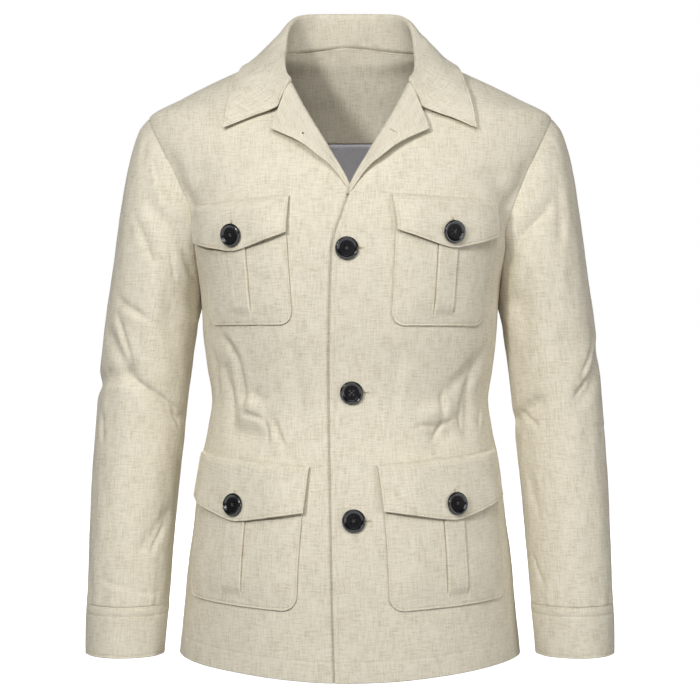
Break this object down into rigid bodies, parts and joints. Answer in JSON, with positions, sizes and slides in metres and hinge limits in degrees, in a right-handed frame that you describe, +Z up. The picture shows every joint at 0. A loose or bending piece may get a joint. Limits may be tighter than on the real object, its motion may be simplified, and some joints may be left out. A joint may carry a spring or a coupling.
{
  "type": "single-breasted jacket",
  "caption": "Hip-length linen jacket in its worn form: open notched collar, patch pockets with pointed flaps, set-in sleeves with plain cuffs, hollow and open at neck, hem and wrists.",
  "frame": {"origin": "midway between the neck ends of the two shoulder seams, where a wearer's shoulders hold the jacket", "axes": "+Z up, the front faces -Y, +X is the wearer's left"},
  "size_m": [0.6096, 0.2931, 0.7746],
  "materials": {
    "linen": "natural linen, plain weave",
    "lining": "smooth grey lining",
    "button_horn": "near-black, polished"
  },
  "bodies": {
    "root": {"front_left": "linen", "front_right": "linen", "back": "linen", "back_neck_facing": "linen", "back_lining": "lining", "sleeve_left": "linen", "sleeve_right": "linen", "cuff_left": "linen", "cuff_right": "linen", "collar": "linen", "lapel_left": "linen", "lapel_right": "linen", "chest_pocket_left": "linen", "chest_pocket_right": "linen", "chest_flap_left": "linen", "chest_flap_right": "linen", "chest_button_left": "button_horn", "chest_button_right": "button_horn", "hip_pocket_left": "linen", "hip_pocket_right": "linen", "hip_flap_left": "linen", "hip_flap_right": "linen", "hip_button_left": "button_horn", "hip_button_right": "button_horn", "front_button_1": "button_horn", "front_button_2": "button_horn", "front_button_3": "button_horn"}
  },
  "joints": []
}
